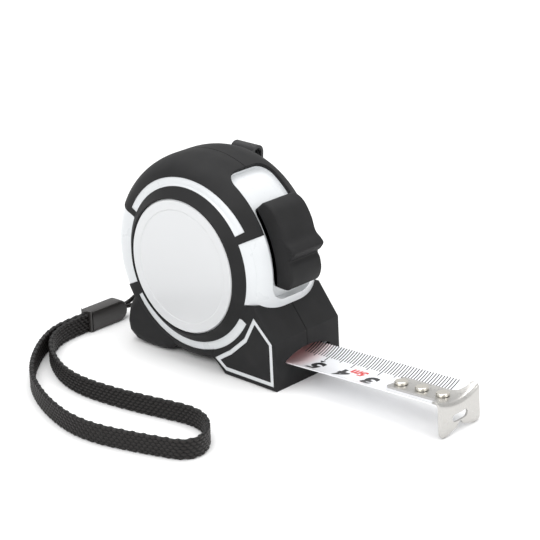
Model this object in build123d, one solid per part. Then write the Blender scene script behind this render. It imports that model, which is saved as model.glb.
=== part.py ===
from build123d import *
import math
import os

# Pocket tape measure, 5 m x 19 mm, with its tape drawn out and a wrist strap.
# Millimetres. +X is the way the tape leaves, +Y the belt-clip side (left), +Z up.
# Origin: on the surface that the case stands on, under the spool axis, at the mid-plane.
# Case parts are drawn about the spool axis and lifted by AXIS_Z when they are written.

# ------------------------------------------------------------------ driving dimensions
AXIS_Z = 31.2          # spool axis above the standing surface
BODY_X = -2.2          # centre of the round body, about the spool axis
BODY_Z = -0.25
CASE_R = 31.4          # rim of the round body
FLANK_Y = 14.3         # flat flank of the round body, from the mid-plane
SHOULDER_Y = 11.3      # elliptical rounding from flank to rim, across the case
SHOULDER_R = 6.3       # and along the radius
FOOT_Y = 14.2          # flank of the front and rear feet
GRIP_T = 1.2           # rubber grip
SHELL_T = 1.6          # rigid shell under it
PROUD = 0.2            # the grip stands this far above the bare shell
SEAM = 0.1             # half of the gap between the two grips

DISC_R = 20.4          # side disc
DISC_Y = 17.16         # its face
RING_R = 23.6          # outer edge of the grip's ring round the disc
ARC_R = 26.2           # outer edge of the bare arcs round the ring
POCKET_Y = 13.2        # floor of the disc's pocket

RING_Y = 14.7          # height of the ring's outer edge

CAVITY_R = 27.6        # inside of the shells, about the body's centre
CAVITY_Y = 11.4
COIL_R = 20.9          # wound tape, outside
DRUM_R = 13.3          # spool drum, outside
DRUM_BORE_R = 11.9
SPOOL_Y = 9.4          # half the tape's wound width
POST_R = 2.65          # centre post
RUNNING = 0.06         # radial running clearance on the post

RECESS_R = 29.2        # floor of the thumb lock's track, about the body's centre
RECESS_Y = 8.4
RECESS_FROM = -12.0    # degrees, 0 is straight ahead
RECESS_TO = 66.0

TAPE_HALF = 8.9        # half the tape's width across its edges
TAPE_SAG = 2.2         # how far its middle lies below its edges
TAPE_T = 0.3
MOUTH_X = 34.0         # front of the case
MOUTH_Z = 7.6          # tape's edges above the standing surface, at the mouth
TAPE_RISE = 2.84       # degrees, nose up
TAPE_OUT = 53.6        # tape beyond the mouth
TAPE_IN = 7.0          # straight tape kept inside the mouth
TAPE_OUT_STOP = -52.1  # how far the room behind the mouth lets the tape run in
FEED_ANGLE = -98.0     # where the tape leaves the coil
HOOK_X = 53.9          # inner face of the hook's plate, from the mouth
HOOK_T = 0.8
HOOK_DEPTH = 10.1      # plate's lower edge below the tape's edges
HOOK_HALF = 8.8
HOOK_PLAY = 0.8        # the hook shifts by its own thickness

STRAP_W = 6.0          # webbing, standing on its edge
STRAP_T = 1.3
CORD_D = 1.4           # thin lanyard cord
FERRULE_X = -42.45     # middle of the ferrule, across
FERRULE_Y = -17.8      # its strap end
FERRULE_L = 15.6
FERRULE_W = 5.0
FERRULE_H = 6.8

PIN_X = -25.5          # lanyard pin, about the spool axis
PIN_Z = -20.0
PIN_R = 0.9
PIN_HALF = 4.6
LANYARD_HALF = 2.5     # half width of the slot that the pin crosses

SCREWS = [(28.8, -17.2), (-25.6, -8.2), (-16.4, 20.2), (6.6, 25.0)]
SCREW_R = 1.15
SCREW_HEAD_R = 1.8
SCREW_SEAT = 11.3      # underside of the heads
BOSS_R = 2.3

lift = Pos(0, 0, AXIS_Z)
about_body = Pos(BODY_X, 0, BODY_Z)
tape_frame = Pos(MOUTH_X, 0, MOUTH_Z) * Rot(0, -TAPE_RISE, 0)


# ------------------------------------------------------------------ helpers
def polar(r, degrees):
    a = math.radians(degrees)
    return (r * math.cos(a), r * math.sin(a))


def across(face, y0, y1):
    """Prism of a side-view outline (x, z) between two planes across the case."""
    return extrude(Plane.XZ.offset(-y1) * face, y1 - y0)


def along(face, x0, x1):
    """Prism of a front-view outline (y, z) between two planes along the tape."""
    return extrude(Plane.YZ.offset(x0) * face, x1 - x0)


def outline(points):
    return make_face(Polyline(*points, close=True))


def sector(r0, r1, a0, a1):
    """Ring sector about the spool axis, in the side view."""
    outer = CenterArc((0, 0), r1, a0, a1 - a0)
    inner = CenterArc((0, 0), r0, a0, a1 - a0)
    return make_face([outer, Line(outer @ 1, inner @ 1), inner, Line(inner @ 0, outer @ 0)])


def disc(r, y0, y1, x=0.0, z=0.0):
    return across(Pos(x, z) * Circle(r), y0, y1)


def tube(r0, r1, y0, y1):
    return disc(r1, y0, y1) - disc(r0, y0, y1)


def block(x0, x1, y0, y1, z0, z1):
    return Pos((x0 + x1) / 2, (y0 + y1) / 2, (z0 + z1) / 2) * Box(x1 - x0, y1 - y0, z1 - z0)


def mirrored(solid):
    return mirror(solid, about=Plane.XZ)


def turned(points):
    """Solid of revolution about the spool axis from (radius, y) points."""
    return revolve(make_face(Polyline(*points, close=True)), Axis.Y)


# ------------------------------------------------------------------ case body, one half
def round_half(inset):
    """Round body with an elliptical shoulder, the ring's boss and the disc's pocket."""
    rim = CASE_R - inset
    flank = FLANK_Y - inset
    wide = SHOULDER_Y - inset
    deep = SHOULDER_R - inset
    shoulder = EllipticalCenterArc((rim - deep, flank - wide), deep, wide, start_angle=0, arc_size=90)
    side = Polyline((rim - deep, flank), (0, flank), (0, 0), (rim, 0), (rim, flank - wide))
    body = about_body * revolve(make_face([shoulder, side]), Axis.Y)
    body += turned([(0, 9), (0, DISC_Y - inset), (DISC_R + 0.5, DISC_Y - inset), (RING_R, RING_Y - inset),
                    (RING_R + 2.4, RING_Y - 1.8 - inset), (RING_R + 2.4, 9)])
    return body - disc(DISC_R + 0.05 if inset == 0 else RING_R, POCKET_Y, 20)


FRONT_FOOT = [(22, -7), (25.9, -7.0), (33.3, -16.4), (33.8, -AXIS_Z), (13.4, -AXIS_Z), (8.8, -27.2),
              (9.5, -21.5)]
REAR_FOOT = [(-20.5, -9.5), (-24.9, -15.4), (-27.6, -20.0), (-28.6, -25.0), (-27.9, -28.4),
             (-24.6, -30.8), (-20.5, -AXIS_Z), (-15.5, -AXIS_Z), (-11.0, -30.5), (-5.5, -27.0), (-9, -21)]


def foot_half(points, inset, rounding):
    face = outline(points)
    if inset > 0:
        return across(offset(face, -inset, kind=Kind.INTERSECTION), 0, FOOT_Y - inset)
    solid = across(face, 0, FOOT_Y)
    return fillet(solid.faces().sort_by(Axis.Y)[-1].edges(), rounding)


def case_half(inset):
    body = round_half(inset) + foot_half(FRONT_FOOT, inset, 0.7) + foot_half(REAR_FOOT, inset, 3.2)
    return body - block(-40, 40, -1, 20, -60, -AXIS_Z + (inset if inset > PROUD else 0))


def foot_line(inset):
    """The outline strip on the foot's flank, at one distance from its outer edge."""
    return offset(outline([(25.6, -10.3), (32.6, -16.8), (33.0, -29.9), (13.9, -29.9), (9.6, -26.9),
                           (15.7, -23.0), (21.6, -17.8)]), -inset, kind=Kind.INTERSECTION)


def bare_zone():
    """Where the rigid shell shows: two arcs, the front, the rear and the foot's outline."""
    zone = across(sector(RING_R, ARC_R, 33.5, 151.5), 12, 18)
    zone += across(sector(RING_R, ARC_R, -145.5, -29.5), 12, 18)
    front = across(sector(RING_R, 45, -22.5, 27.5), -1, 18)
    front -= across(outline(FRONT_FOOT), -2, 19)
    rear = across(sector(RING_R, 45, 156, 206), -1, 18)
    line = across(foot_line(0) - foot_line(1.3), FOOT_Y - GRIP_T, 18)
    return zone + front + rear + line


def track():
    """The thumb lock's curved track, open to the front and top."""
    wedge = about_body * across(sector(RECESS_R, 50, RECESS_FROM, RECESS_TO), -RECESS_Y, RECESS_Y)
    ends = [e for e in wedge.edges().filter_by(GeomType.LINE)
            if abs(e.length - (50 - RECESS_R)) < 0.01]
    return fillet(ends, 4.6)


def mouth_cut():
    """Lens-shaped room for the tape, from its run-in end to the front of the foot."""
    lens = make_face([ThreePointArc((-9.9, 0.2), (0, 2.6), (9.9, 0.2)),
                      ThreePointArc((-9.9, 0.2), (0, -3.2), (9.9, 0.2))])
    return Pos(0, 0, -AXIS_Z) * tape_frame * along(lens, TAPE_OUT_STOP - TAPE_IN, 2)


def lanyard_cut():
    slot = block(-36, -22.0, -LANYARD_HALF, LANYARD_HALF, -24.6, -16.0)
    return slot - about_body * disc(CAVITY_R + 0.5, -4, 4)


def pin_hole():
    return disc(PIN_R, -PIN_HALF, PIN_HALF, PIN_X, PIN_Z)


def openings():
    return track() + mouth_cut() + lanyard_cut() + pin_hole()


def cavity():
    room = about_body * turned([(0, 0), (CAVITY_R, 0), (CAVITY_R, 6.8), (CAVITY_R - 1.9, CAVITY_Y),
                                (0, CAVITY_Y)])
    front = offset(outline(FRONT_FOOT), -GRIP_T - SHELL_T, kind=Kind.INTERSECTION)
    return room + across(front, -CAVITY_Y, CAVITY_Y)


def screw_holes(radius, y0, y1):
    return Part() + [disc(radius, y0, y1, x, z) for x, z in SCREWS]


def grip_half():
    skin = case_half(0) - case_half(GRIP_T) - bare_zone() - openings()
    skin -= block(-60, 60, -1, SEAM, -60, 60)
    for angle in (154.5, 207.5):
        x, z = polar(CASE_R - 1.3, angle)
        lip = about_body * disc(1.3, 3.5, 9.0, x, z)
        skin += fillet(lip.edges(), 0.5) - case_half(GRIP_T) - bare_zone()
    return skin


def shell_half():
    body = case_half(PROUD) & (case_half(GRIP_T) + bare_zone())
    body -= cavity()
    body += screw_holes(BOSS_R, 0, CAVITY_Y + 0.2) & case_half(GRIP_T)
    body += tube(POST_R, 4.5, SPOOL_Y + 0.3, CAVITY_Y + 0.2)
    body -= disc(POST_R, 0, 12.9)
    slot = across(sector(CAVITY_R - 2, RECESS_R + 1, STEM_FROM - 1, 17), -STEM_HALF - 0.3, STEM_HALF + 0.3)
    return body - openings() - about_body * slot


# ------------------------------------------------------------------ case parts
def side_disc():
    return turned([(0, 15.9), (18.9, 15.9), (18.9, POCKET_Y + 0.05), (DISC_R - 0.05, POCKET_Y + 0.05),
                   (DISC_R - 0.05, DISC_Y - 0.5), (DISC_R - 0.5, DISC_Y), (17.3, DISC_Y),
                   (17.0, DISC_Y - 0.15), (0, DISC_Y - 0.15)])


def case_screws():
    group = []
    for x, z in SCREWS:
        head = disc(SCREW_HEAD_R, SCREW_SEAT, SCREW_SEAT + 1.2, x, z)
        head = fillet(head.edges().sort_by(Axis.Y)[-1], 0.5)
        cross = block(x - 1.2, x + 1.2, SCREW_SEAT + 0.6, 14, z - 0.25, z + 0.25)
        cross += block(x - 0.25, x + 0.25, SCREW_SEAT + 0.6, 14, z - 1.2, z + 1.2)
        group.append(head - cross + disc(SCREW_R, -8, SCREW_SEAT + 0.1, x, z))
    return Part() + group


CLIP_X0 = -10.3
CLIP_X1 = -1.3
CLIP_T = 0.9
CLIP_LINE = [(12.0, 23.9), (15.9, 23.9), (15.9, 27.7), (20.0, 27.7), (18.2, -7.0), (19.9, -12.5)]


def clip_slot():
    return block(CLIP_X0, CLIP_X1, 11.9, 18, 23.9 - CLIP_T / 2, 23.9 + CLIP_T / 2)


def belt_clip():
    line = FilletPolyline(*CLIP_LINE, radius=[1.0, 1.9, 1.9, 6.0])
    return along(trace(line, CLIP_T), CLIP_X0, CLIP_X1)


def mouth_guide():
    guide = block(26.6, 30.5, -CAVITY_Y + 0.05, CAVITY_Y - 0.05, -28.3, -20.2)
    return guide - mouth_cut() - disc(BOSS_R, -12, 12, *SCREWS[0])


# ------------------------------------------------------------------ spool
def spool_drum():
    wall = tube(DRUM_BORE_R, DRUM_R, -SPOOL_Y, SPOOL_Y)
    web = tube(POST_R + RUNNING, DRUM_BORE_R + 0.3, -SPOOL_Y, -SPOOL_Y + 1.0)
    hub = tube(POST_R + RUNNING, 3.6, -SPOOL_Y, -SPOOL_Y + 2.0)
    return wall + web + hub


def drum_cover():
    return tube(POST_R + RUNNING, DRUM_BORE_R - 0.02, SPOOL_Y - 1.0, SPOOL_Y)


def centre_post():
    post = disc(POST_R, -12.8, 12.8)
    return post - block(-3, 3, -7.5, 7.5, -0.4, 0.4)


def power_spring():
    """Flat spiral of half circles whose centres alternate, hooked into the post's slot."""
    half_y = 7.0
    strip = 0.4
    pitch = 0.95
    first_r = 3.4
    turns = 8
    arcs = []
    x = 0.0
    r = first_r
    for half in range(2 * turns):
        a = 0 if half % 2 == 0 else 180
        arcs.append(sector_at(x, r - strip / 2, r + strip / 2, a, a + 180))
        shift = pitch / 2
        x += -shift if half % 2 == 0 else shift
        r += shift
    tab = Pos(first_r / 2, 0) * Rectangle(first_r + strip, strip)
    return across(Sketch() + arcs + tab, -half_y, half_y)


def sector_at(x, r0, r1, a0, a1):
    return Pos(x, 0) * sector(r0, r1, a0, a1)


def blade_coil():
    return tube(DRUM_R, COIL_R, -SPOOL_Y, SPOOL_Y)


# ------------------------------------------------------------------ tape, in its own frame
def cup(half, lower, upper):
    """Front-view section that follows the tape's hollow, between two heights above its face."""
    top = ThreePointArc((-half, upper), (0, upper - TAPE_SAG), (half, upper))
    low = ThreePointArc((-half, lower), (0, lower - TAPE_SAG), (half, lower))
    return make_face([top, Line(top @ 1, low @ 1), low, Line(low @ 0, top @ 0)])


RIVET_X = [34.3, 41.6, 48.9]
RIVET_R = 0.85


def upright(r, z0, z1, x):
    return Pos(x, 0, z0) * extrude(Circle(r), z1 - z0)


def blade():
    strip = along(cup(TAPE_HALF, -TAPE_T, 0), -TAPE_IN, TAPE_OUT)
    for x in RIVET_X:
        strip -= upright(RIVET_R + 0.05, -5, 2, x)
    return strip


def blade_feed():
    """Tape between the coil, where it is flat, and the mouth, where it is hollow."""
    x, z = polar(COIL_R + TAPE_T / 2 + 0.05, FEED_ANGLE)
    heading = math.radians(FEED_ANGLE + 90)
    onward = (math.cos(heading), 0, math.sin(heading))
    leave = Plane(origin=(x, 0, z + AXIS_Z), x_dir=(0, 1, 0), z_dir=onward)
    flat = leave * Rectangle(2 * TAPE_HALF, TAPE_T)
    hollow = tape_frame * (Plane.YZ.offset(-TAPE_IN) * cup(TAPE_HALF, -TAPE_T, 0))
    return loft([flat.face(), hollow.face()])


def hook_rivets():
    group = []
    for x in RIVET_X:
        head = fillet(upright(1.95, -1.28, -0.45, x).edges().sort_by(Axis.Z)[-1], 0.4)
        tail = upright(1.5, -2.8, -2.54, x)
        group.append(head + tail + upright(RIVET_R, -2.6, -1.2, x))
    return Part() + group


def hook():
    skin = along(cup(HOOK_HALF, 0.03, 0.73), 31.9, HOOK_X + HOOK_T)
    plan = make_face(Polyline((31.9, 3.3), (31.9, -3.3), (32.6, -3.8), (48.0, -3.8), (50.2, -HOOK_HALF),
                              (55, -HOOK_HALF), (55, HOOK_HALF), (50.2, HOOK_HALF), (48.0, 3.8),
                              (32.6, 3.8), close=True))
    skin &= Pos(0, 0, -5) * extrude(plan, 10)
    rim = ThreePointArc((-HOOK_HALF, 0.73), (0, 0.73 - TAPE_SAG), (HOOK_HALF, 0.73))
    low = -HOOK_DEPTH
    edge = Polyline((HOOK_HALF, 0.73), (HOOK_HALF, low + 2.6), (HOOK_HALF - 3.2, low), (1.9, low),
                    (0, low + 2.4), (-1.9, low), (-HOOK_HALF + 3.2, low), (-HOOK_HALF, low + 2.6),
                    (-HOOK_HALF, 0.73))
    face = make_face([rim, edge]) - Pos(0, -6.1) * SlotOverall(6.6, 2.3)
    solid = skin + along(face, HOOK_X, HOOK_X + HOOK_T)
    for x in RIVET_X:
        slot = Pos(x - HOOK_PLAY / 2, 0) * SlotCenterToCenter(HOOK_PLAY, 2 * RIVET_R + 0.2)
        solid -= Pos(0, 0, -5) * extrude(slot, 5)
    return solid


# ------------------------------------------------------------------ thumb lock
BUTTON_TOP = [(-4.8, 32.2), (-4.2, 34.2), (-1.8, 35.4), (2.3, 36.1), (7.0, 35.9), (10.0, 35.3),
              (11.7, 36.8), (14.0, 38.2), (16.4, 37.6), (20.1, 36.2), (26.7, 36.4), (34.3, 36.1),
              (39.4, 34.7), (41.2, 33.0)]
BUTTON_FLOOR_R = RECESS_R + 0.3
ARM_R0 = 26.0
ARM_R1 = 26.9
PAD_R = 29.2
STEM_FROM = -9.0       # the button's stem, below its body in the track
STEM_HALF = 1.6


def lock_button():
    top = Spline(*[polar(r, a) for a, r in BUTTON_TOP])
    first, last = BUTTON_TOP[0][0], BUTTON_TOP[-1][0]
    floor = CenterArc((0, 0), BUTTON_FLOOR_R, first, last - first)
    face = make_face([top, Line(top @ 1, floor @ 1), floor, Line(floor @ 0, top @ 0)])
    body = across(face, -6.7, 6.7)
    return about_body * (body + across(sector(ARM_R1, RECESS_R + 0.9, STEM_FROM, 0), -STEM_HALF, STEM_HALF))


def lock_arm():
    return about_body * across(sector(ARM_R0, ARM_R1, -52, 3), -3.5, 3.5)


def lock_pad():
    return about_body * across(sector(ARM_R1, PAD_R, -51, -43), -3.3, 3.3)


# ------------------------------------------------------------------ lanyard and strap
def lanyard_pin():
    return pin_hole()


def rounded_path(points):
    """Straight runs joined by tangent arcs, each as large as its two runs allow."""
    nodes = [Vector(*p) for p in points]
    radii = []
    for a, b, c in zip(nodes, nodes[1:], nodes[2:]):
        half_turn = math.radians((b - a).get_angle(c - b)) / 2
        radii.append(0.45 * min((b - a).length, (c - b).length) / math.tan(half_turn))
    return FilletPolyline(*nodes, radius=radii), radii


CORD_ROUTE = [(-43.2, -4.2, 3.4), (-43.2, 0.4, 3.4), (-40.0, 1.6, 6.8), (-35.0, 0.9, 9.9),
              (-30.2, 0.2, 11.9), (-24.68, 0, 13.46), (-23.24, 0, 10.38), (-29.13, 0, 7.63),
              (-34.0, -0.2, 5.6), (-38.6, -0.2, 4.2), (-41.7, 0.2, 3.4), (-41.7, -3.3, 3.4)]


def lanyard_cord():
    path, radii = rounded_path(CORD_ROUTE)
    start = Plane(origin=path @ 0, z_dir=path % 0)
    solid = sweep(start * Circle(CORD_D / 2), path=path)
    report("lanyard_cord", path, radii, solid, math.pi * CORD_D ** 2 / 4)
    return solid


STRAP_ROUTE = [(-43.15, FERRULE_Y), (-43.15, -24.5), (-42.2, -31.5), (-38.4, -39.0), (-33.2, -46.2),
               (-27.3, -52.8), (-20.3, -58.8), (-11.3, -63.8), (-1.5, -67.7), (9.0, -70.2),
               (19.0, -69.9), (29.0, -67.2), (38.0, -64.2), (44.2, -62.0), (46.3, -57.2),
               (43.2, -51.0), (37.6, -46.4), (31.0, -44.9), (22.5, -46.6), (12.0, -49.0),
               (1.5, -50.6), (-8.5, -51.1), (-18.0, -49.2), (-27.0, -44.8), (-34.8, -39.2),
               (-39.7, -32.4), (-41.75, -25.2), (-41.75, FERRULE_Y)]


def wrist_strap():
    path, radii = rounded_path([(x, y, 0) for x, y in STRAP_ROUTE])
    start = Plane(origin=path @ 0, z_dir=path % 0, x_dir=(0, 0, 1))
    section = start * Pos(STRAP_W / 2, 0) * Rectangle(STRAP_W, STRAP_T)
    solid = sweep(section, path=path)
    report("wrist_strap", path, radii, solid, STRAP_W * STRAP_T)
    return solid


def report(name, path, radii, solid, section):
    shares = solid.volume / (path.length * section)
    print(f"{name}: length {path.length:.1f}, volume / (section x length) {shares:.4f}")
    print("  arc radii", [round(r, 1) for r in radii])


def strap_ferrule():
    r = FERRULE_H / 2
    y1 = FERRULE_Y + FERRULE_L
    side = Pos((FERRULE_Y + y1 - r) / 2, r) * Rectangle(FERRULE_L - r, FERRULE_H)
    side += Pos(y1 - r, r) * Circle(r)
    body = along(side, FERRULE_X - FERRULE_W / 2, FERRULE_X + FERRULE_W / 2)
    for x, y, z in (CORD_ROUTE[0], CORD_ROUTE[-1]):
        body -= disc(CORD_D / 2, y, y1 + 1, x, z)
    return fillet(body.edges().filter_by(Axis.Y), 0.6)


# ------------------------------------------------------------------ write the sub-parts
def case_parts():
    shell = shell_half()
    grip = grip_half()
    heads = screw_holes(SCREW_HEAD_R + 0.2, SCREW_SEAT, 20)
    return {
        "left_shell": shell - heads - screw_holes(SCREW_R + 0.1, -1, 13) - clip_slot(),
        "right_shell": mirrored(shell) - screw_holes(SCREW_R, -8, 1),
        "left_grip": grip - heads - clip_slot(),
        "right_grip": mirrored(grip),
        "left_side_disc": side_disc(),
        "right_side_disc": mirrored(side_disc()),
        "case_screws": case_screws(),
        "belt_clip": belt_clip(),
        "mouth_guide": mouth_guide(),
        "lanyard_pin": lanyard_pin(),
        "centre_post": centre_post(),
        "spool_drum": spool_drum(),
        "drum_cover": drum_cover(),
        "power_spring": power_spring(),
        "blade_coil": blade_coil(),
        "lock_button": lock_button(),
        "lock_arm": lock_arm(),
        "lock_pad": lock_pad(),
    }


def tape_parts():
    return {"blade": blade(), "hook": hook(), "hook_rivets": hook_rivets()}


def strap_parts():
    return {"lanyard_cord": lanyard_cord(), "strap_ferrule": strap_ferrule(), "wrist_strap": wrist_strap()}


parts = {name: lift * solid for name, solid in case_parts().items()}
parts |= {name: tape_frame * solid for name, solid in tape_parts().items()}
parts |= {"blade_feed": blade_feed()} | strap_parts()

os.makedirs("parts", exist_ok=True)
for name, solid in parts.items():
    export_step(solid, f"parts/{name}.step")
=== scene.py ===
import math

import bmesh
import bpy
import numpy as np
from mathutils import Matrix, Vector


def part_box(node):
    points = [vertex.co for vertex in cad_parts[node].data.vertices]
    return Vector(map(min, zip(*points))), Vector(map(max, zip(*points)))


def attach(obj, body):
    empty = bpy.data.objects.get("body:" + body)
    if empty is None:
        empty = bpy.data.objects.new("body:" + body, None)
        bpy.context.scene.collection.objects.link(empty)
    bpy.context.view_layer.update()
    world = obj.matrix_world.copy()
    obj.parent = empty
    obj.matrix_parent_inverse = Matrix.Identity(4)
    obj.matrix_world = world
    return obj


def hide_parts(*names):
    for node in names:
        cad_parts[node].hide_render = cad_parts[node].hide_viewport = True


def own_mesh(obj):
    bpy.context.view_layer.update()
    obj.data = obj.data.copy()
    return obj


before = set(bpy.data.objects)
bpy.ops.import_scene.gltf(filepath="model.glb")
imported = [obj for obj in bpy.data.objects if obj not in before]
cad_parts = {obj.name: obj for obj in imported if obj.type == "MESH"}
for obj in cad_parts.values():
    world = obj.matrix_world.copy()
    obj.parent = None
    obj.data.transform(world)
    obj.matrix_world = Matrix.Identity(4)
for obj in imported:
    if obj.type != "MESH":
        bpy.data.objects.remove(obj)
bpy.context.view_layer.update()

MM = 0.001

# ------------------------------------------------------------------ places, from the frame (mm)
low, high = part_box("blade_coil")
AXIS_Z = (low.z + high.z) / 2 / MM          # spool axis above the floor
TAPE_RISE = math.radians(2.84)              # nose up
MOUTH = (34.0, 0.0, 7.6)                    # tape's edges at the front of the case
TAPE_HALF = 8.9                             # half the width across its edges
TAPE_SAG = 2.2                              # its middle lies this far below its edges
TAPE_T = 0.3
TAPE_IN = 7.0                               # straight tape inside the mouth
TAPE_OUT = 53.6                             # and outside it
INK_LIFT = 0.03                             # the print stands this far above the lacquer
FEED_FROM = (-2.94, 10.31)                  # where the tape leaves the coil, x and z
FEED_TILT = math.radians(-8.0)
HOOK_X = 53.9                               # inner face of the hook, the scale's zero
HOOK_START = 31.9                           # rear end of the hook's tongue
HOOK_HALF = 8.8
HOOK_DEPTH = 10.1
HOOK_BEND = 1.4                             # outer radius of the bend
HOOK_T = 0.8                                # plate
HOOK_TOP = 0.73                             # tongue's upper face above the tape's face
HOOK_SHEET = 0.68
HOOK_PLATE = 9.4                            # plate's length in the flat pattern, below the bend
RIVET_X = (34.3, 41.6, 48.9)
BODY = (-2.2, 30.95)                        # centre of the round body and of the lock's track, x and z
BUTTON_HALF = 6.7
STEM_FROM = -9.0                            # degrees; the stem shows below the button
STEM_HALF = 1.6
FERRULE = (-42.45, -17.8, 15.6, 5.0, 6.8)   # middle x, strap end y, length, width, height
STRAP_W = 6.0
STRAP_T = 1.3
CORD_D = 1.4
RECESS_R = 29.2                             # floor of the lock's track, about the body's centre

# degrees and radius about the body's centre
BUTTON_TOP = [(-4.8, 32.2), (-4.2, 34.2), (-1.8, 35.4), (2.3, 36.1), (7.0, 35.9), (10.0, 35.3),
              (11.7, 36.8), (14.0, 38.2), (16.4, 37.6), (20.1, 36.2), (26.7, 36.4), (34.3, 36.1),
              (39.4, 34.7), (41.2, 33.0)]
# x and y of the webbing's centre line, then x, y and z of the cord's
STRAP_ROUTE = [(-43.15, -17.8), (-43.15, -24.5), (-42.2, -31.5), (-38.4, -39.0), (-33.2, -46.2),
               (-27.3, -52.8), (-20.3, -58.8), (-11.3, -63.8), (-1.5, -67.7), (9.0, -70.2),
               (19.0, -69.9), (29.0, -67.2), (38.0, -64.2), (44.2, -62.0), (46.3, -57.2),
               (43.2, -51.0), (37.6, -46.4), (31.0, -44.9), (22.5, -46.6), (12.0, -49.0),
               (1.5, -50.6), (-8.5, -51.1), (-18.0, -49.2), (-27.0, -44.8), (-34.8, -39.2),
               (-39.7, -32.4), (-41.75, -25.2), (-41.75, -17.8)]
CORD_ROUTE = [(-43.2, -4.2, 3.4), (-43.2, 0.4, 3.4), (-40.0, 1.6, 6.8), (-35.0, 0.9, 9.9),
              (-30.2, 0.2, 11.9), (-24.68, 0, 13.46), (-23.24, 0, 10.38), (-29.13, 0, 7.63),
              (-34.0, -0.2, 5.6), (-38.6, -0.2, 4.2), (-41.7, 0.2, 3.4), (-41.7, -3.3, 3.4)]


# ------------------------------------------------------------------ mesh helpers
def piece(name, verts, faces, material, body, smooth=True):
    """A mesh from millimetre points, riding on a body."""
    mesh = bpy.data.meshes.new(name)
    mesh.from_pydata([tuple(v) for v in np.asarray(verts, float) * MM], [], [tuple(f) for f in faces])
    mesh.polygons.foreach_set("use_smooth", [smooth] * len(mesh.polygons))
    mesh.update()
    obj = bpy.data.objects.new(name, mesh)
    bpy.context.scene.collection.objects.link(obj)
    mesh.materials.append(material)
    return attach(obj, body)


def capped(rows, cols):
    """Quads of a tube of rows of cols points each, with a face on each end."""
    r = np.arange(rows - 1)[:, None]
    c = np.arange(cols)[None, :]
    a = r * cols + c
    b = r * cols + (c + 1) % cols
    quads = np.stack([a, b, b + cols, a + cols], axis=-1).reshape(-1, 4)
    ends = [list(range(cols))[::-1], [(rows - 1) * cols + c for c in range(cols)]]
    return quads.tolist() + ends


def softened(obj):
    """Smooth faces with sharp edges kept where they turn by more than 40 degrees."""
    obj.data.set_sharp_from_angle(angle=math.radians(40))


def from_curve(data):
    """The mesh of a curve or a text, ready to edit; the curve itself is removed."""
    obj = bpy.data.objects.new("outline", data)
    mesh = bpy.data.meshes.new_from_object(obj)
    work = bmesh.new()
    work.from_mesh(mesh)
    bpy.data.objects.remove(obj)
    bpy.data.curves.remove(data)
    bpy.data.meshes.remove(mesh)
    return work


def points_and_faces(work):
    """Flat points and faces of an edited mesh, which is freed."""
    work.verts.index_update()
    points = [(v.co.x, v.co.y) for v in work.verts]
    faces = [tuple(v.index for v in face.verts) for face in work.faces]
    work.free()
    return points, faces


def tinted(obj, name, values):
    """A per-point grey level that the material reads."""
    layer = obj.data.color_attributes.new(name, "FLOAT_COLOR", "POINT")
    rgba = np.ones((len(values), 4), np.float32)
    rgba[:, :3] = np.asarray(values, np.float32).reshape(len(values), -1)
    layer.data.foreach_set("color", rgba.ravel())


# ------------------------------------------------------------------ materials
class Shader:
    """A Principled material with short calls for the nodes that give it detail."""

    def __init__(self, name, color, roughness, **inputs):
        self.material = bpy.data.materials.new(name)
        self.material.use_nodes = True
        self.tree = self.material.node_tree
        self.bsdf = self.tree.nodes["Principled BSDF"]
        self.bsdf.inputs["Base Color"].default_value = (*color, 1)
        self.bsdf.inputs["Roughness"].default_value = roughness
        for key, value in inputs.items():
            self.bsdf.inputs[key.replace("_", " ")].default_value = value
        self.material.diffuse_color = (*color, 1)

    def node(self, kind, **values):
        made = self.tree.nodes.new(kind)
        for key, value in values.items():
            if key in made.inputs:
                made.inputs[key].default_value = value
            else:
                setattr(made, key, value)
        return made

    def link(self, source, target):
        self.tree.links.new(source, target)

    def noise(self, scale, detail=4.0, stretch=(1, 1, 1)):
        place = self.node("ShaderNodeTexCoord")
        mapping = self.node("ShaderNodeMapping")
        mapping.inputs["Scale"].default_value = stretch
        made = self.node("ShaderNodeTexNoise", Scale=scale, Detail=detail)
        self.link(place.outputs["Object"], mapping.inputs["Vector"])
        self.link(mapping.outputs["Vector"], made.inputs["Vector"])
        return made.outputs["Fac"]

    def ramp(self, fac, low, high):
        made = self.node("ShaderNodeMapRange")
        made.inputs["To Min"].default_value = low
        made.inputs["To Max"].default_value = high
        made.inputs["From Min"].default_value = 0.3
        made.inputs["From Max"].default_value = 0.7
        self.link(fac, made.inputs["Value"])
        return made.outputs["Result"]

    def mix(self, fac, color_a, color_b):
        made = self.node("ShaderNodeMix", data_type="RGBA")
        for socket, color in ((6, color_a), (7, color_b)):
            made.inputs[socket].default_value = (*color, 1)
        self.link(fac, made.inputs[0])
        return made.outputs[2]

    def bump(self, fac, strength, distance):
        made = self.node("ShaderNodeBump", Strength=strength, Distance=distance)
        self.link(fac, made.inputs["Height"])
        self.link(made.outputs["Normal"], self.bsdf.inputs["Normal"])

    def color(self, output):
        self.link(output, self.bsdf.inputs["Base Color"])

    def roughness(self, output):
        self.link(output, self.bsdf.inputs["Roughness"])

    def attribute(self, name):
        return self.node("ShaderNodeVertexColor", layer_name=name).outputs["Color"]


def rubber(name, color):
    s = Shader(name, color, 0.58, Specular_IOR_Level=0.24)
    lighter = tuple(c * 1.3 for c in color)
    s.color(s.mix(s.ramp(s.noise(160, 3), 0, 1), color, lighter))
    s.roughness(s.ramp(s.noise(90, 2), 0.56, 0.7))
    s.bump(s.noise(5200, 2), 0.22, 0.00006)
    return s.material


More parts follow.
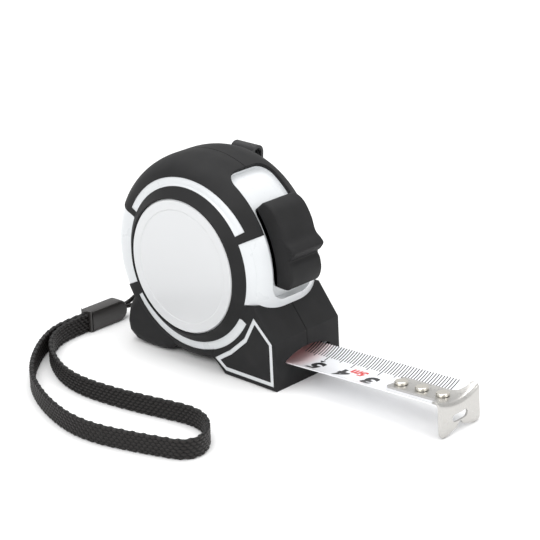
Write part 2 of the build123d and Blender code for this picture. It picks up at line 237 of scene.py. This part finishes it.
def gloss_white(name, color, roughness):
    s = Shader(name, color, roughness, Coat_Weight=0.35, Coat_Roughness=0.12)
    s.roughness(s.ramp(s.noise(220, 3), roughness * 0.85, roughness * 1.2))
    s.bump(s.noise(900, 2), 0.04, 0.00005)
    return s.material


def plastic(name, color, roughness):
    s = Shader(name, color, roughness)
    s.roughness(s.ramp(s.noise(300, 3), roughness * 0.85, roughness * 1.2))
    s.bump(s.noise(2600, 2), 0.08, 0.00005)
    return s.material


def metal(name, color, roughness, brushed=(1, 1, 1)):
    s = Shader(name, color, roughness, Metallic=1.0)
    s.roughness(s.ramp(s.noise(1600, 3, brushed), roughness * 0.75, roughness * 1.35))
    s.bump(s.noise(2400, 3, brushed), 0.02, 0.00003)
    return s.material


def yarn(name, dark, top_highlight):
    """Woven yarn: painted shade darkens it between the picks and a painted highlight makes it paler on
    their tops; slightly glossy.
    """
    s = Shader(name, dark, 0.44, Specular_IOR_Level=0.3)
    # The pick attribute mixes painted shade in the gaps between picks with a painted highlight on the
    # pick tops.
    s.color(s.mix(s.attribute("pick"), dark, top_highlight))
    s.bump(s.noise(3800, 2, (1, 1, 0.4)), 0.25, 0.00006)
    return s.material


def tape_lacquer(name):
    """Lacquered steel, reddened where the tint attribute says."""
    white = (0.86, 0.87, 0.9)
    red = (0.8, 0.42, 0.42)
    s = Shader(name, white, 0.28, Coat_Weight=0.4, Coat_Roughness=0.1)
    s.color(s.mix(s.attribute("tint"), white, red))
    s.bump(s.noise(700, 2), 0.03, 0.00004)
    return s.material


BLACK = (0.0115, 0.0115, 0.012)
M = {
    "grip": rubber("grip_rubber", BLACK),
    "button": rubber("button_rubber", (0.011, 0.011, 0.0115)),
    "shell": gloss_white("shell_white", (0.69, 0.71, 0.725), 0.3),
    "disc": gloss_white("side_disc", (0.66, 0.67, 0.68), 0.36),
    "inner": plastic("black_acetal", (0.02, 0.02, 0.021), 0.5),
    "natural": plastic("natural_acetal", (0.62, 0.61, 0.58), 0.45),
    "hook": metal("hook_nickel", (0.55, 0.54, 0.52), 0.34),
    "rivet": metal("rivet_nickel", (0.80, 0.77, 0.70), 0.18),
    "steel": metal("dark_steel", (0.35, 0.35, 0.36), 0.35),
    "clip": plastic("clip_coat", (0.012, 0.012, 0.013), 0.42),
    "ferrule": plastic("ferrule_plastic", (0.028, 0.026, 0.025), 0.2),
    # Yarn colours: near-black painted shade between the picks, paler painted highlight on the pick
    # tops.
    "strap": yarn("strap_yarn", (0.0012, 0.001, 0.001), (0.019, 0.016, 0.015)),
    "cord": yarn("cord_yarn", (0.0012, 0.001, 0.001), (0.018, 0.016, 0.015)),
    "tape": tape_lacquer("tape_lacquer"),
    "ink": plastic("scale_ink", (0.02, 0.02, 0.022), 0.4),
    "red": plastic("scale_red_ink", (0.62, 0.06, 0.06), 0.4),
}
NODE_MATERIALS = {
    "left_grip": "grip", "right_grip": "grip", "left_shell": "shell", "right_shell": "shell",
    "left_side_disc": "disc", "right_side_disc": "disc", "case_screws": "steel", "belt_clip": "clip",
    "mouth_guide": "inner", "lanyard_pin": "steel", "centre_post": "natural", "spool_drum": "natural",
    "drum_cover": "natural", "power_spring": "steel", "blade_coil": "tape", "blade": "tape",
    "blade_feed": "tape", "hook": "hook", "hook_rivets": "rivet", "lock_button": "button",
    "lock_arm": "inner", "lock_pad": "button", "lanyard_cord": "cord", "strap_ferrule": "ferrule",
    "wrist_strap": "strap",
}
for node, key in NODE_MATERIALS.items():
    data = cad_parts[node].data
    data.materials.clear()
    data.materials.append(M[key])


# ------------------------------------------------------------------ camera
AZIMUTH = math.radians(43.2)      # camera stands right of straight ahead of the flank
ELEVATION = math.radians(20.83)
ROLL = math.radians(-1.39)
SENSOR = 36
LENS = 130.55
DISTANCE = 580.03                 # mm, then the aim's offsets
ASIDE = 14.22
BELOW = -5.6


def camera():
    """Camera from its two angles, roll, distance and offsets."""
    back = Vector((math.sin(AZIMUTH) * math.cos(ELEVATION), -math.cos(AZIMUTH) * math.cos(ELEVATION),
                   math.sin(ELEVATION)))
    level = Vector((math.cos(AZIMUTH), math.sin(AZIMUTH), 0))
    upright = back.cross(level)
    right = level * math.cos(ROLL) + upright * math.sin(ROLL)
    up = -level * math.sin(ROLL) + upright * math.cos(ROLL)
    data = bpy.data.cameras.new("camera")
    data.sensor_width = SENSOR
    data.lens = LENS
    data.clip_start = 0.01
    obj = bpy.data.objects.new("camera", data)
    bpy.context.scene.collection.objects.link(obj)
    place = (back * DISTANCE + right * ASIDE + up * BELOW + Vector((0, 0, AXIS_Z))) * MM
    obj.matrix_world = Matrix((right, up, back)).transposed().to_4x4()
    obj.location = place
    bpy.context.scene.camera = obj


camera()


# ------------------------------------------------------------------ strap and cord
def route(points, step):
    """Points at even steps along the smooth line through a given route."""
    data = bpy.data.curves.new("route", "CURVE")
    data.dimensions = "3D"
    data.resolution_u = 24
    spline = data.splines.new("NURBS")
    spline.points.add(len(points) - 1)
    for target, p in zip(spline.points, points):
        target.co = (*(Vector(p) * MM), 1)
    spline.order_u = 3
    spline.use_endpoint_u = True
    work = from_curve(data)
    co = np.array([v.co for v in work.verts], float) / MM
    work.free()
    run = np.concatenate([[0], np.cumsum(np.linalg.norm(np.diff(co, axis=0), axis=1))])
    s = np.linspace(0, run[-1], int(run[-1] / step) + 1)
    return np.stack([np.interp(s, run, co[:, i]) for i in range(3)], axis=1), s


def directions(path):
    """Unit tangents."""
    t = np.gradient(path, axis=0)
    return t / np.linalg.norm(t, axis=1)[:, None]


def woven_strap():
    """Webbing on its edge: six rows of staggered picks on each side, scalloped edges."""
    path, s = route([(x, y, STRAP_W / 2) for x, y in STRAP_ROUTE], 0.2)
    t = directions(path)
    side = np.stack([-t[:, 1], t[:, 0], np.zeros(len(t))], axis=1)
    pick = 1.7
    rows = 6
    per_row = 6
    relief = 0.4
    core = STRAP_T / 2 - 0.3
    height = np.linspace(-0.5, 0.5, rows * per_row + 1)
    ring = [(h, 1) for h in height] + [(h, -1) for h in height[::-1]]
    points, painted_pick_shading = [], []
    for i, p in enumerate(path):
        scallop = 1 + 0.045 * math.cos(2 * math.pi * s[i] / (2 * pick))
        for h, face in ring:
            row = min(int((h + 0.5) * rows), rows - 1)
            across = (h + 0.5) * rows - row - 0.5
            stagger = 0.5 * (row % 2) + (0.25 if face < 0 else 0) + 0.22 * across
            along = (s[i] / pick + stagger) % 1 - 0.5
            lift = math.sqrt(max(0.0, 1 - (along / 0.49) ** 2 - (across / 0.56) ** 2))
            out = core * min(1.0, 14 * (0.5 - abs(h)) + 0.45) + relief * lift
            points.append(p + side[i] * face * out + np.array((0, 0, h * (STRAP_W - 0.2) * scallop)))
            # Pick tops get a painted highlight and the gaps between picks get painted shade, through
            # the pick attribute.
            painted_pick_shading.append([lift ** 2] * 3)
    obj = piece("strap_webbing", points, capped(len(path), len(ring)), M["strap"], "root")
    tinted(obj, "pick", painted_pick_shading)
    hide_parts("wrist_strap")


def braided_cord():
    """Thin round cord with a helical braid."""
    path, s = route(CORD_ROUTE, 0.12)
    t = directions(path)
    normal = np.zeros_like(t)
    normal[0] = np.cross(t[0], (0, 0, 1))
    for i in range(1, len(t)):
        normal[i] = normal[i - 1] - t[i] * (normal[i - 1] @ t[i])
        normal[i] /= np.linalg.norm(normal[i])
    binormal = np.cross(t, normal)
    count = 24
    lay = 2.4
    points, painted_pick_shading = [], []
    for i, p in enumerate(path):
        turn = 2 * math.pi * s[i] / lay
        for k in range(count):
            a = 2 * math.pi * k / count
            lift = abs(math.sin(2 * a + turn) * math.sin(2 * a - turn))
            r = CORD_D / 2 - 0.07 + 0.1 * lift
            points.append(p + r * (math.cos(a) * normal[i] + math.sin(a) * binormal[i]))
            # Braid crests get a painted highlight and the hollows between strands get painted shade,
            # through the pick attribute.
            painted_pick_shading.append([lift] * 3)
    obj = piece("lanyard_braid", points, capped(len(path), count), M["cord"], "root")
    tinted(obj, "pick", painted_pick_shading)
    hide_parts("lanyard_cord")


def crowned(outline, half, rounding, place):
    """Prism of a closed side outline with rounded edges; place turns (u, w, v) into a point."""
    p = np.asarray(outline, float)
    t = np.roll(p, -1, axis=0) - np.roll(p, 1, axis=0)
    t /= np.linalg.norm(t, axis=1)[:, None]
    inward = np.stack([-t[:, 1], t[:, 0]], axis=1)
    steps = 6
    layers = [(-1, math.pi / 2 * k / steps) for k in range(steps, -1, -1)]
    layers += [(1, math.pi / 2 * k / steps) for k in range(steps + 1)]
    points = []
    for sign, a in layers:
        w = sign * (half - rounding + rounding * math.sin(a))
        ring = p + inward * rounding * (1 - math.cos(a))
        points += [place(u, w, v) for u, v in ring]
    return points, capped(len(layers), len(p))


def smooth_line(points, step):
    """Even points along a Catmull-Rom line through given points."""
    p = np.asarray([points[0]] + list(points) + [points[-1]], float)
    made = []
    for a, b, c, d in zip(p, p[1:], p[2:], p[3:]):
        count = max(2, int(np.linalg.norm(c - b) / step))
        for k in range(count):
            u = k / count
            made.append(0.5 * (2 * b + (c - a) * u + (2 * a - 5 * b + 4 * c - d) * u ** 2
                               + (3 * b - a - 3 * c + d) * u ** 3))
    made.append(p[-1])
    return np.array(made)


def about_body(degrees, r):
    """x and z of a polar point about the round body's centre."""
    a = math.radians(degrees)
    return (BODY[0] + r * math.cos(a), BODY[1] + r * math.sin(a))


def thumb_button():
    """Wavy crowned button with its narrow stem, in place of the plain CAD one."""
    top = smooth_line([about_body(a, r) for a, r in BUTTON_TOP], 0.3)
    back = np.linspace(BUTTON_TOP[-1][0], BUTTON_TOP[0][0], 50)
    floor = [about_body(a, RECESS_R + 0.3) for a in back]
    outer = [about_body(a, RECESS_R + 0.9) for a in np.linspace(STEM_FROM, 0.0, 16)]
    inner = [about_body(a, RECESS_R - 2.3) for a in np.linspace(0.0, STEM_FROM, 16)]
    points, faces = crowned(list(top) + floor, BUTTON_HALF, 1.0, lambda x, y, z: (x, y, z))
    stem_points, stem_faces = crowned(outer + inner, STEM_HALF, 0.25, lambda x, y, z: (x, y, z))
    faces += [tuple(i + len(points) for i in face) for face in stem_faces]
    obj = piece("thumb_button", points + stem_points, faces, M["button"], "lock")
    softened(obj)
    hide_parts("lock_button")


def ferrule():
    """Moulded ferrule: flat at the strap, round at the cord, with soft edges."""
    x, y, length, width, height = FERRULE
    r = height / 2
    nose = y + length - r
    outline = [(y, height), (y, 0.0)] + [(v, 0.0) for v in np.linspace(y + 0.5, nose, 12)]
    round_end = np.linspace(0.1, math.pi - 0.1, 30)
    outline += [(nose + r * math.sin(a), r - r * math.cos(a)) for a in round_end]
    outline += [(v, height) for v in np.linspace(nose, y + 0.5, 12)]
    points, faces = crowned(outline, width / 2, 0.8, lambda u, w, v: (x + w, u, v))
    obj = piece("ferrule_shell", points, faces, M["ferrule"], "root")
    softened(obj)
    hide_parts("strap_ferrule")


ferrule()
woven_strap()
braided_cord()
thumb_button()


# ------------------------------------------------------------------ tape and its scale
def tape_point(x, y, z):
    """From the tape's own line, whose edges are at height 0, to the row frame."""
    c, s = math.cos(TAPE_RISE), math.sin(TAPE_RISE)
    return (MOUTH[0] + x * c - z * s, MOUTH[1] + y, MOUTH[2] + x * s + z * c)


def hollow(y):
    """Height of the tape's hollow face at a distance from its middle."""
    r = (TAPE_HALF ** 2 + TAPE_SAG ** 2) / (2 * TAPE_SAG)
    return r - math.sqrt(r * r - y * y) - TAPE_SAG


def printed(name, shapes, material):
    """Flat shapes, in the tape's own x and y, laid on its hollow face as thin ink."""
    verts, faces = [], []
    for points, polygons in shapes:
        start = len(verts)
        verts += [tape_point(x, y, hollow(y) + INK_LIFT) for x, y in points]
        faces += [[start + i for i in polygon] for polygon in polygons]
    obj = piece(name, verts, faces, material, "tape", smooth=False)


def tick(x, y_from, y_to, width):
    """A bar across the tape, cut finely enough to follow its hollow."""
    steps = 6
    points = []
    for i in range(steps + 1):
        y = y_from + (y_to - y_from) * i / steps
        points += [(x - width / 2, y), (x + width / 2, y)]
    return points, [(2 * i, 2 * i + 1, 2 * i + 3, 2 * i + 2) for i in range(steps)]


def lettered(text, x, y, width, height, slant=0.0):
    """A numeral or unit, read from the +Y side, as a finely cut flat mesh of a given size."""
    data = bpy.data.curves.new("print", "FONT")
    data.body = text
    data.resolution_u = 6
    data.offset = 0.05
    data.shear = slant
    work = from_curve(data)
    bmesh.ops.triangulate(work, faces=work.faces)
    bmesh.ops.subdivide_edges(work, edges=work.edges, cuts=2, use_grid_fill=True)
    bmesh.ops.triangulate(work, faces=work.faces)
    points, polygons = points_and_faces(work)
    co = np.array(points)
    span = co.max(0) - co.min(0)
    local = ((co - co.min(0)) / span - 0.5) * (width, height)
    return [(x - u, y - v) for u, v in local], polygons


def flat_mesh(loops):
    """Fine triangles of a flat outline with holes, as (u, v) points and faces."""
    data = bpy.data.curves.new("flat", "CURVE")
    data.dimensions = "2D"
    data.fill_mode = "BOTH"
    for loop in loops:
        spline = data.splines.new("POLY")
        spline.points.add(len(loop) - 1)
        for target, (u, v) in zip(spline.points, loop):
            target.co = (u, v, 0, 1)
        spline.use_cyclic_u = True
    work = from_curve(data)
    bmesh.ops.remove_doubles(work, verts=work.verts, dist=0.001)
    bmesh.ops.triangulate(work, faces=work.faces)
    cuts = [((u, 0, 0), (1, 0, 0)) for u in np.arange(HOOK_START + 1.0, HOOK_START + 36.0, 0.35)]
    cuts += [((0, v, 0), (0, 1, 0)) for v in np.arange(-8.4, 8.5, 0.7)]
    for place, normal in cuts:
        parts = work.verts[:] + work.edges[:] + work.faces[:]
        bmesh.ops.bisect_plane(work, geom=parts, plane_co=place, plane_no=normal)
    return points_and_faces(work)


def arc_points(u, v, r, a0, a1, count=8):
    angles = np.radians(np.linspace(a0, a1, count))
    return [(u + r * math.cos(a), v + r * math.sin(a)) for a in angles]


def end_hook():
    """Bent sheet hook: riveted tongue, rounded bend, slotted plate with two rounded legs."""
    bend_at = HOOK_X + HOOK_T - HOOK_BEND
    arc = HOOK_BEND * math.pi / 2
    low = bend_at + arc + HOOK_PLATE
    half = [(HOOK_START, 3.3), (HOOK_START + 0.7, 3.8), (48.8, 3.8), (50.8, 4.6), (51.9, 6.8)]
    half += [(52.3, HOOK_HALF)]
    half += arc_points(low - 1.7, HOOK_HALF - 1.7, 1.7, 90, 0)[:6]
    half += [(low, HOOK_HALF - 2.4), (low - 1.2, 2.6), (low - 1.6, 1.6), (low - 3.6, 0.35)]
    outline = half + [(u, -v) for u, v in half[::-1]]
    slot_u = bend_at + arc + 4.2
    holes = [arc_points(slot_u, 2.0, 1.45, 0, 180) + arc_points(slot_u, -2.0, 1.45, 180, 360)]
    holes += [arc_points(x - 0.4, 0, 1.35, 0, 337.5, 16) for x in RIVET_X]
    flat, faces = flat_mesh([outline] + holes)
    points = []
    for u, v in flat:
        top = hollow(v) + HOOK_TOP
        q = u - bend_at
        if q <= 0:
            x, z = u, top
        elif q < arc:
            x = bend_at + HOOK_BEND * math.sin(q / HOOK_BEND)
            z = top - HOOK_BEND * (1 - math.cos(q / HOOK_BEND))
        else:
            x = bend_at + HOOK_BEND
            z = top - HOOK_BEND - (q - arc) * (top - HOOK_BEND + HOOK_DEPTH) / HOOK_PLATE
        points.append(tape_point(x, v, z))
    obj = piece("hook_sheet", points, faces, M["hook"], "end_hook")
    sheet = obj.modifiers.new("thickness", "SOLIDIFY")
    sheet.thickness = HOOK_SHEET * MM
    sheet.offset = -1
    edge = obj.modifiers.new("bevel", "BEVEL")
    edge.width = 0.12 * MM
    edge.segments = 2
    edge.limit_method = "ANGLE"
    edge.angle_limit = math.radians(50)
    edge.harden_normals = False
    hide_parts("hook")


def tape_strip():
    """Drawn-out tape, tinted red near the mouth."""
    xs = np.linspace(-TAPE_IN, TAPE_OUT, 90)
    ys = np.linspace(-TAPE_HALF, TAPE_HALF, 61)
    ring = [(y, 0.0) for y in ys] + [(y, -TAPE_T) for y in ys[::-1]]
    points = [tape_point(x, y, hollow(y) + z) for x in xs for y, z in ring]
    tint = [[min(1.0, max(0.0, (3.0 - x) / 9.0))] * 3 for x in xs for _ in ring]
    obj = piece("tape_strip", points, capped(len(xs), len(ring)), M["tape"], "tape")
    tinted(obj, "tint", tint)
    softened(obj)
    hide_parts("blade")


def tape_feed():
    """Tape between the coil, where it is flat, and the mouth, where it is hollow."""
    start = np.array((FEED_FROM[0], 0.0, FEED_FROM[1]))
    heading = np.array((math.cos(FEED_TILT), 0.0, math.sin(FEED_TILT)))
    up = np.array((-heading[2], 0.0, heading[0]))
    ys = np.linspace(-TAPE_HALF, TAPE_HALF, 31)
    ring = [(y, 0.0) for y in ys] + [(y, -TAPE_T) for y in ys[::-1]]
    points = []
    for t in np.linspace(0.0, 1.0, 40):
        for y, z in ring:
            flat = start + up * (z + TAPE_T / 2) + np.array((0.0, y, 0.0))
            points.append((1 - t) * flat + t * np.array(tape_point(-TAPE_IN, y, hollow(y) + z)))
    obj = piece("tape_feed", points, capped(40, len(ring)), M["tape"], "tape")
    tinted(obj, "tint", [[1.0] * 3] * len(points))
    softened(obj)
    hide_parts("blade_feed")
    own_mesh(obj)


def tape_scale():
    """Millimetre ticks, longer at each 5 and 10 mm, numerals and a length mark."""
    first = 6
    ticks = []
    for k in range(first, int(HOOK_X + TAPE_IN)):
        end = 2.1 if k % 10 == 0 else 3.2 if k % 5 == 0 else 4.0
        ticks.append(tick(HOOK_X - k, TAPE_HALF - 0.03, end, 0.36))
    printed("scale_ticks", ticks, M["ink"])
    numerals = [lettered(str(k), HOOK_X - 10 * k + 0.7, -2.4, 4.0, 6.2) for k in (3, 4, 5)]
    pointer = ([(4.9, 1.7), (2.9, 1.7), (3.9, 0.6)], [(0, 1, 2)])
    printed("scale_numerals", numerals + [pointer], M["ink"])
    printed("scale_length", [lettered("5m", 18.3, 0.5, 5.8, 3.2, 0.25)], M["red"])


end_hook()
tape_strip()
tape_feed()
tape_scale()


# ------------------------------------------------------------------ studio
def stage_floor():
    mesh = bpy.data.meshes.new("floor")
    size = 6.0
    corners = [(-size, -size, 0), (size, -size, 0), (size, size, 0), (-size, size, 0)]
    mesh.from_pydata(corners, [], [(0, 1, 2, 3)])
    floor = bpy.data.objects.new("floor", mesh)
    bpy.context.scene.collection.objects.link(floor)
    mesh.materials.append(Shader("floor_white", (0.93, 0.93, 0.93), 0.75).material)


def area_light(name, location, size, power, target=(0.01, -0.01, 0.03)):
    data = bpy.data.lights.new(name, "AREA")
    data.shape = "SQUARE"
    data.size = size
    data.energy = power
    obj = bpy.data.objects.new(name, data)
    bpy.context.scene.collection.objects.link(obj)
    obj.location = location
    obj.rotation_euler = (Vector(target) - Vector(location)).to_track_quat("-Z", "Y").to_euler()


def studio():
    bpy.context.scene.view_settings.view_transform = "Standard"
    world = bpy.data.worlds.new("world")
    bpy.context.scene.world = world
    world.use_nodes = True
    background = world.node_tree.nodes["Background"]
    background.inputs["Color"].default_value = (1.0, 1.0, 1.0, 1)
    background.inputs["Strength"].default_value = 0.75
    area_light("key", (0.1, -0.6, 0.7), 0.6, 3.2)
    area_light("top", (-0.1, 0.15, 0.9), 0.8, 5.0)
    area_light("side", (0.8, 0.1, 0.45), 0.45, 1.4)


stage_floor()
studio()
